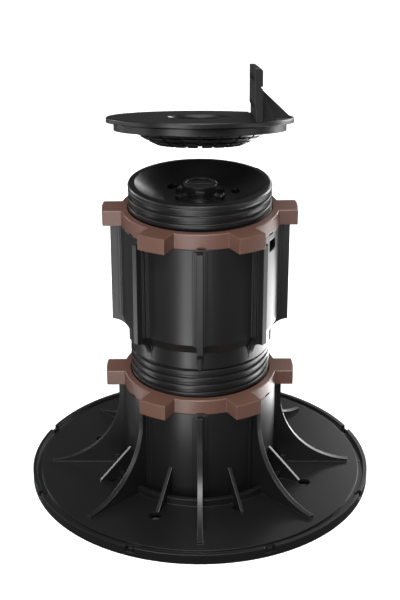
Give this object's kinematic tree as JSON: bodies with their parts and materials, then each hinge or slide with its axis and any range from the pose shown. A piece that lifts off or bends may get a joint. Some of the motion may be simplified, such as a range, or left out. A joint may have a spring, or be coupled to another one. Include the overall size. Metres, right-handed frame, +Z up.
{
  "type": "adjustable paving pedestal",
  "caption": "Screw-adjustable pedestal: ribbed round base, telescoping threaded tubes with lugged ring nuts, ball seat and raised self-levelling head with an upright edge tab.",
  "frame": {"origin": "middle of the base plate's underside, on the ground", "axes": "+Z up along the tubes' axis, -Y towards the front of the picture's view, +X towards the edge tab"},
  "size_m": [0.23, 0.23, 0.2932],
  "materials": {
    "black_plastic": "satin black moulded polypropylene",
    "brown_plastic": "satin brown moulded polypropylene"
  },
  "bodies": {
    "foot": {"base": "black_plastic"},
    "lower_nut": {"lower_ring": "brown_plastic"},
    "mid_tube": {"mid_body": "black_plastic"},
    "upper_nut": {"upper_ring": "brown_plastic"},
    "shaft": {"top_shaft": "black_plastic"},
    "plug": {"centre_plug": "black_plastic"},
    "cup": {"levelling_cup": "black_plastic"},
    "head": {"head_plate": "black_plastic", "edge_tab": "black_plastic"}
  },
  "joints": [
    {"name": "mid_slide", "type": "slide", "parent": "foot", "child": "mid_tube", "axis": [0, 0, 1], "range_m": [-0.016, 0.038]},
    {"name": "lower_ring_turn", "type": "hinge", "parent": "foot", "child": "lower_nut", "pos_m": [0, 0, 0.0752], "axis": [0, 0, 1], "range_deg": [-2640, 1115]},
    {"name": "shaft_slide", "type": "slide", "parent": "mid_tube", "child": "shaft", "axis": [0, 0, 1], "range_m": [-0.011, 0.03]},
    {"name": "upper_ring_turn", "type": "hinge", "parent": "mid_tube", "child": "upper_nut", "pos_m": [0, 0, 0.1891], "axis": [0, 0, 1], "range_deg": [-2085, 770]},
    {"name": "plug_turn", "type": "hinge", "parent": "shaft", "child": "plug", "pos_m": [0, 0, 0.206], "axis": [0, 0, 1], "range_deg": [0, 90]},
    {"name": "head_lift", "type": "hinge", "parent": "shaft", "child": "cup", "pos_m": [0, 0.14482, 0.2362], "axis": [-1, 0, 0], "range_deg": [-13, 0]},
    {"name": "head_tilt", "type": "hinge", "parent": "cup", "child": "head", "pos_m": [0, 0.01059, 0.29857], "axis": [1, 0, 0], "range_deg": [-2.8, 2.8]}
  ],
  "couplings": [
    {"joint": "lower_ring_turn", "follows": "mid_slide", "rad_per_m": -1208.3},
    {"joint": "upper_ring_turn", "follows": "shaft_slide", "rad_per_m": -1208.3}
  ]
}
